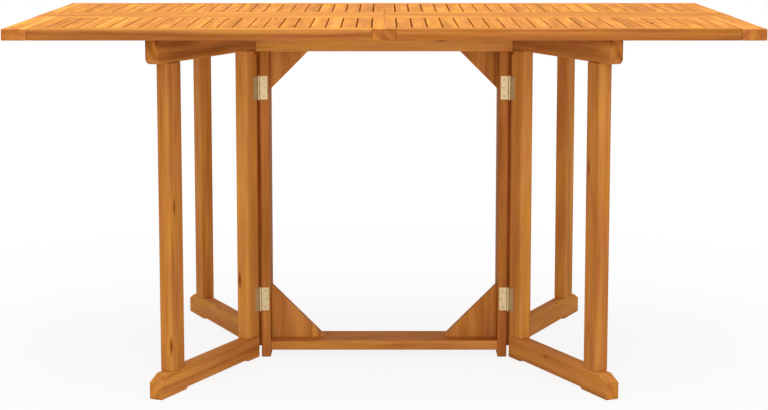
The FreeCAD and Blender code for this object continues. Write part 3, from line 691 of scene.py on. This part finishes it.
low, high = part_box("flap_front_left_slats")
print("slat width in mm:", round(((high.x - low.x + SLAT_GAP) / SLATS - SLAT_GAP) / MM, 1))

# %% [markdown]
# ## Flaps
#
# The four outer boards of a flap meet at right angles, and tenons run from one into the next. Booleans
# could cut those joints, but they are inside the wood, where nobody sees them. So each rail is drawn
# from shoulder to shoulder. What the eye does see is the fine line between two eased edges, and the
# slats, which stop at the long rails in the same way.

# %% Flaps
QUARTERS = ("front_left", "front_right", "back_left", "back_right")
SEAM_EASE = 0.7 * MM          # less than on other boards, so that the seam stays a fine line
TOP_END_EASE = 1.2 * MM
# the front outer rails are darkened as painted shade on their front faces, and painted light makes their tops pale
# again
OUTER_RAIL_TONE = {"front_left": 0.12, "front_right": 0.11, "back_left": 0.02, "back_right": 0.04}
END_RAIL_TONE = {"front_left": -0.1, "front_right": -0.02, "back_left": -0.06, "back_right": 0.0}
STILE_TONE = {"front_left": 0.0, "front_right": 0.04, "back_left": 0.02, "back_right": 0.02}
SAP_RAIL = "flap_front_left_outer_rail"       # this rail has kept a band of sapwood
SAP_CUT = {"sap": (-20.0 * MM, 2.0 * MM), "slide": -60.0 * MM}        # along its upper edge


def flap(quarter):
    """One flap: two long rails, end rail, seam stile and slats."""
    body = "flap_" + quarter
    boxes = {part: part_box(body + "_" + part) for part in
             ("outer_rail", "inner_rail", "end_rail", "seam_stile", "slats")}
    # the long rails stop at the shoulders of their tenons
    stops = sorted(c.x for part in ("end_rail", "seam_stile") for c in boxes[part])[1:3]
    for part, tone in (("outer_rail", OUTER_RAIL_TONE[quarter]), ("inner_rail", None)):
        node = body + "_" + part
        low, high = boxes[part]
        low.x, high.x = stops
        cut = SAP_CUT if node == SAP_RAIL else {}
        rail = plank(low, high, "x", ease=TOP_EASE, end_ease=TOP_END_EASE, tone=tone, **cut)
        top_piece(node, [rail], body)
    close_seam(*boxes["seam_stile"])
    ends = (("end_rail", TOP_EASE, END_RAIL_TONE), ("seam_stile", SEAM_EASE, STILE_TONE))
    for part, ease, tones in ends:
        low, high = boxes[part]
        stile = plank(low, high, "y", ease=ease, end_ease=TOP_END_EASE, tone=tones[quarter])
        top_piece(body + "_" + part, [stile], body)
    low, high = boxes["slats"]
    low.y, high.y = sorted(c.y for part in ("outer_rail", "inner_rail") for c in boxes[part])[1:3]
    top_piece(body + "_slats", slat_row(low, high), body)


for quarter in QUARTERS:
    flap(quarter)
print("slats:", SLATS * len(QUARTERS))

# %% [markdown]
# ## The gates
#
# A gate is a frame of foot, two uprights and top rail, hung on a corner of the central frame. It
# could be drawn where it stands, but then every one of its boards would be out of square. Here it
# is drawn folded flat, square to the table, and then swung out about its hinge pin, as a carpenter
# would make it on the bench and hang it afterwards. The joint in the frame says where the pin is
# and how far the gate swings.

# %% A gate folded flat


def folded_box(node, fold):
    """A gate node's corners once the gate is folded flat."""
    points = [fold @ vertex.co for vertex in frame["nodes"][node].data.vertices]
    low = Vector([min(point[axis] for point in points) for axis in range(3)])
    high = Vector([max(point[axis] for point in points) for axis in range(3)])
    return low, high


def outward(low, high, side):
    """Inner and outer ends of a box, away from the middle of the table."""
    return (low.x, high.x) if side > 0 else (high.x, low.x)


low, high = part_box("gate_front_left_foot")
print("an open foot's reach in mm:", round((high.x - low.x) / MM), "x", round((high.y - low.y) / MM))

# %% [markdown]
# ## The boards of a gate
#
# The foot stands on two pads with a shallow hollow between them, so that it doesn't rock, and its toe
# slopes off. The top rail is rounded at its lower outer corner, and the hinged upright is notched to
# swing in under the apron. Each could be carved out of a block. An outline drawn from a few sizes is
# easier to change, and the notch is measured from the apron itself, so that it always clears it.

# %% The boards of a gate
GATE_EASE = 5.0 * MM
FOOT_EASE = 4.0 * MM
UPRIGHT_END_EASE = 1.2 * MM
RAIL_END_EASE = 0.4 * MM
INNER_PAD = 49.0 * MM         # the foot rests on two pads, with a shallow hollow between them
OUTER_PAD = 98.0 * MM
FOOT_RELIEF = 4.5 * MM
TOE_DROP = 13.0 * MM
TOE_LENGTH = 28.0 * MM
RAIL_ROUNDING = 12.0 * MM
ROUNDING_STEPS = 6
NOTCH_CLEARANCE = 2.5 * MM    # between the notch in the hinged upright and the apron


def foot_board(low, high, side, tone):
    """The foot: two pads, a hollow between them and a sloped toe."""
    inner, tip = outward(low, high, side)
    relief_start = inner + side * INNER_PAD
    relief_end = tip - side * OUTER_PAD
    outline = (
        (inner, low.z), (relief_start, low.z), (relief_start + side * FOOT_RELIEF, low.z + FOOT_RELIEF),
        (relief_end - side * FOOT_RELIEF, low.z + FOOT_RELIEF), (relief_end, low.z), (tip, low.z),
        (tip, high.z - TOE_DROP), (tip - side * TOE_LENGTH, high.z), (inner, high.z),
    )
    points = [(x, low.y, z) for x, z in outline]
    return board(points, Vector((0, high.y - low.y, 0)), "x", ease=FOOT_EASE, tone=tone)


def rail_board(low, high, side, tone):
    """The top rail, its lower outer corner rounded."""
    inner, tip = outward(low, high, side)
    outline = [(tip, high.z), (inner, high.z), (inner, low.z)]
    centre_x, centre_z = tip - side * RAIL_ROUNDING, low.z + RAIL_ROUNDING
    for step in range(ROUNDING_STEPS + 1):
        angle = math.radians(90 * step / ROUNDING_STEPS)
        outline.append((centre_x + side * RAIL_ROUNDING * math.sin(angle),
                        centre_z - RAIL_ROUNDING * math.cos(angle)))
    points = [(x, low.y, z) for x, z in outline]
    return board(points, Vector((0, high.y - low.y, 0)), "x", GATE_EASE, RAIL_END_EASE, tone)


def hinged_upright(low, high, side, tone):
    """The hinged upright, notched at its top to pass under the apron."""
    inner, outer = outward(low, high, side)
    notch_x = side * (apron_high.x + NOTCH_CLEARANCE)
    notch_z = apron_low.z - NOTCH_CLEARANCE
    outline = ((inner, low.z), (outer, low.z), (outer, high.z), (notch_x, high.z), (notch_x, notch_z),
               (inner, notch_z))
    points = [(x, low.y, z) for x, z in outline]
    return board(points, Vector((0, high.y - low.y, 0)), "z", GATE_EASE, UPRIGHT_END_EASE, tone)


def outer_leg(low, high, side, tone):
    """The outer leg: a plain upright, the same on both sides of the table."""
    return plank(low, high, "z", ease=GATE_EASE, end_ease=UPRIGHT_END_EASE, tone=tone)


print("arrises of a gate in mm:", GATE_EASE / MM, "foot", FOOT_EASE / MM)

# %% Hang the gates
# the front gates' hinged uprights are made paler as painted light, standing in for light they lack from the sides
GATE_TONES = {
    "front_left": {"foot": -0.08, "top_rail": 0.1, "inner_post": -0.14, "outer_leg": 0.05},
    "front_right": {"foot": -0.05, "top_rail": 0.1, "inner_post": -0.09, "outer_leg": 0.0},
    "back_left": {"foot": -0.12, "top_rail": 0.0, "inner_post": -0.03, "outer_leg": -0.08},
    "back_right": {"foot": -0.08, "top_rail": 0.03, "inner_post": -0.02, "outer_leg": -0.1},
}
GATE_BOARDS = {
    "foot": foot_board,
    "top_rail": rail_board,
    "inner_post": hinged_upright,
    "outer_leg": outer_leg,
}


def gate(quarter):
    """One gate, built folded and swung open about its pin."""
    body = "gate_" + quarter
    joint = next(j for j in frame["joints"] if j["child"] == body)
    pin = Matrix.Translation(Vector(joint["pos_m"]))
    swing = Matrix.Rotation(math.radians(joint["range_deg"][1]), 4, Vector(joint["axis"]))
    fold = pin @ swing @ pin.inverted()
    opened = fold.inverted()
    side = 1 if quarter.endswith("right") else -1
    boxes = {part: folded_box(body + "_" + part, fold) for part in GATE_BOARDS}
    for part, make in GATE_BOARDS.items():
        low, high = boxes[part]
        if make in (hinged_upright, outer_leg):
            # the tenons stay hidden in foot and rail
            low.z, high.z = boxes["foot"][1].z, boxes["top_rail"][0].z
        made = make(low, high, side, GATE_TONES[quarter][part])
        piece("wood_" + body + "_" + part, [made], body, "leg_wood", body + "_" + part, opened)
    return math.degrees(math.atan2(opened[0][1], opened[0][0]))


for quarter in QUARTERS:
    print(quarter, "gate turned by", round(gate(quarter), 1), "degrees")

# %% [markdown]
# ## Hinges and screws
#
# The hinges are pressed steel, zinc plated and passivated yellow, which gives a pale straw colour
# with a faint olive and pink cast that changes over a few millimetres. They could be modelled again
# with more rounding, but the leaves, barrels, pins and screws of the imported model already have
# their true shape at this size, so only their finish is made here.

# %% Yellow zinc plate
TINT_SIZE = 9.0 * MM          # how fast the tint changes
TINT_STOPS = (0.25, 0.5, 0.75)
SPECK_SIZE = 0.8 * MM         # fine unevenness of the plating
SPECK_STRENGTH = 0.2
SPECK_RELIEF = 0.05 * MM
PLATED_METALLIC = 0.75        # the passivated film takes away some of the metal's mirror
ROUGHNESS_SPREAD = (-0.08, 0.1)


def yellow_zinc(name, pale, olive, pink, roughness):
    """Zinc-plated steel, passivated yellow: a satin metal with a patchy tint."""
    material, tree = new_material(name)
    place = add(tree, "TexCoord").outputs["Object"]
    patches = add(tree, "TexNoise", {"Vector": place, "Scale": 1 / TINT_SIZE, "Detail": 2.0})
    specks = add(tree, "TexNoise", {"Vector": place, "Scale": 1 / SPECK_SIZE, "Detail": 3.0})
    tints = zip(TINT_STOPS, (linear(olive), linear(pale), linear(pink)))
    rough = [roughness + change for change in ROUGHNESS_SPREAD]
    grit = {"Height": specks, "Strength": SPECK_STRENGTH, "Distance": SPECK_RELIEF}
    shader = add(tree, "BsdfPrincipled", {
        "Base Color": add(tree, "ValToRGB", [patches], tints),
        "Metallic": PLATED_METALLIC,
        "Roughness": add(tree, "MapRange", [specks, *NOISE_SPAN, *rough]),
        "Normal": add(tree, "Bump", grit),
    })
    add(tree, "OutputMaterial", [shader])
    return material


metal = {
    # leaves, barrels and pins: a pale straw metal, too satin to mirror anything
    "hinge_metal": yellow_zinc("yellow_zinc_plate", "#CDB68C", "#BCAE80", "#D2B48E", 0.42),
    # screws: a little darker and smoother, so that their heads stand out from the leaves
    "screw_steel": yellow_zinc("yellow_zinc_screws", "#BBA67E", "#A89D72", "#C2A682", 0.36),
}
plated = [entry for entry in frame["record"]["subparts"] if entry["material_slot"] in metal]
for entry in plated:
    materials = frame["nodes"][entry["node"]].data.materials
    materials.clear()
    materials.append(metal[entry["material_slot"]])
print("metal nodes:", len(plated))

# %% [markdown]
# ## Studio
#
# Furniture is often shown in a plain studio: a pale floor, a white surround and soft light. A bent
# backdrop and many lamps could make one. A flat floor and a white world do the same with less: a
# wide panel overhead and one in front give the broad faces their brightness, and the surround fills
# the rest, so that a colour comes out about as it was written. The floor takes the table's shadow,
# but seen straight from the camera it is lifted towards white, as on a lit cyclorama.

# %% Floor and surround
FLOOR_SIZE = 30.0             # in metres, as is the next
SHADOW_REACH = (0.9, 1.8)     # the floor turns white to the camera between these distances
SHADOW_LIFT = 0.88            # how much of the white there is close to the table
AMBIENT_LEVEL = 0.65          # how strongly the white surround lights the table
WHITE = linear("#FFFFFF")
PALE_FLOOR = linear("#F0F0F0")


def background_rays(tree):
    """1 for a ray that shows the background: to the camera, or by way of metal or glass."""
    path = add(tree, "LightPath").outputs
    seen = path["Is Camera Ray"]
    for kind in ("Is Glossy Ray", "Is Transmission Ray"):
        seen = add(tree, "Math", [seen, path[kind]], operation="MAXIMUM")
    return seen


def studio_floor():
    """A pale floor that keeps a soft shadow near the table and looks white beyond it."""
    mesh = bpy.data.meshes.new("studio_floor")
    half = FLOOR_SIZE / 2
    corners = [(-half, -half, 0), (half, -half, 0), (half, half, 0), (-half, half, 0)]
    mesh.from_pydata(corners, [], [(0, 1, 2, 3)])
    floor = bpy.data.objects.new("studio_floor", mesh)
    bpy.context.scene.collection.objects.link(floor)
    material, tree = new_material("white_cyclorama")
    matt = add(tree, "BsdfDiffuse", {"Color": PALE_FLOOR})
    glow = add(tree, "Emission", {"Color": WHITE, "Strength": 1.0})
    place = add(tree, "TexCoord").outputs["Object"]
    away = add(tree, "VectorMath", [place], operation="LENGTH")
    lift = add(tree, "MapRange", [away, *SHADOW_REACH, SHADOW_LIFT, 1.0])
    lifted = add(tree, "Math", [background_rays(tree), lift], operation="MULTIPLY")
    add(tree, "OutputMaterial", [add(tree, "MixShader", [lifted, matt, glow])])
    mesh.materials.append(material)


def white_surround():
    """A world that is white to look at and lights the table evenly."""
    world = bpy.data.worlds.new("studio")
    bpy.context.scene.world = world
    world.use_nodes = True
    tree = world.node_tree
    tree.nodes.clear()
    ambient = add(tree, "Background", {"Color": WHITE, "Strength": AMBIENT_LEVEL})
    white = add(tree, "Background", {"Color": WHITE, "Strength": 1.0})
    add(tree, "OutputWorld", [add(tree, "MixShader", [background_rays(tree), ambient, white])])


studio_floor()
white_surround()
print("floor in metres:", FLOOR_SIZE, "ambient level:", AMBIENT_LEVEL)

# %% [markdown]
# ## Lamps
#
# Small lamps would draw hard shadows of the slats and bright spots on the hinges. Two large square
# panels work like the soft boxes of a studio: the one overhead makes the top the brightest part, and
# the one in front lights the aprons, the gates and the frame. They are only as strong as it takes
# for the wood to come out in its own colours.

# %% Lamps


def soft_panel(name, place, target, size, watts):
    """A square soft light at a place, turned towards a target."""
    lamp = bpy.data.lights.new(name, "AREA")
    lamp.shape = "SQUARE"
    lamp.size = size
    lamp.energy = watts
    holder = bpy.data.objects.new(name, lamp)
    holder.location = place
    holder.rotation_euler = (Vector(target) - Vector(place)).to_track_quat("-Z", "Y").to_euler()
    bpy.context.scene.collection.objects.link(holder)


soft_panel("overhead_panel", place=(0.0, -0.6, 4.2), target=(0.0, 0.0, 0.7), size=4.0, watts=95)
soft_panel("front_panel", place=(0.0, -5.2, 1.2), target=(0.0, 0.0, 0.5), size=4.0, watts=85)
print("lamps:", len(bpy.data.lights))

# %% [markdown]
# ## Camera
#
# The camera stands a metre high and four metres away, a little above the top, so that the top is
# seen at a low angle and every slat still shows. A level camera with much lens shift would keep the
# legs exactly upright, but the shift belongs to the lens and would push the table out of the image
# when it is seen from another side. So the camera looks down by eight degrees through a 93 mm lens:
# from so far away the legs stay almost upright, and only a little of the framing is left to shift.

# %% Camera
CAMERA_HEIGHT = 1018.5 * MM
CAMERA_DISTANCE = 4315.8 * MM
CAMERA_PITCH = 7.733          # degrees down from level
IMAGE_WIDTH = 768
IMAGE_HEIGHT = 410
FOCAL_PIXELS = 1978.1         # focal length in pixels of the image
AXIS_ROW = 158.92             # the row and column of the image that the lens axis meets
AXIS_COLUMN = 384.11
SENSOR = 36.0                 # its width in mm

lens = bpy.data.cameras.new("camera")
lens.sensor_width = SENSOR
lens.lens = FOCAL_PIXELS / IMAGE_WIDTH * SENSOR
lens.shift_x = (IMAGE_WIDTH / 2 - AXIS_COLUMN) / IMAGE_WIDTH
lens.shift_y = (AXIS_ROW - IMAGE_HEIGHT / 2) / IMAGE_WIDTH
camera = bpy.data.objects.new("camera", lens)
camera.location = (0.0, -CAMERA_DISTANCE, CAMERA_HEIGHT)
camera.rotation_euler = (math.radians(90 - CAMERA_PITCH), 0, 0)
bpy.context.scene.collection.objects.link(camera)
bpy.context.scene.camera = camera
bpy.context.scene.view_settings.view_transform = "Standard"
print("lens in mm:", round(lens.lens, 2), "shift:", round(lens.shift_x, 4), round(lens.shift_y, 4))
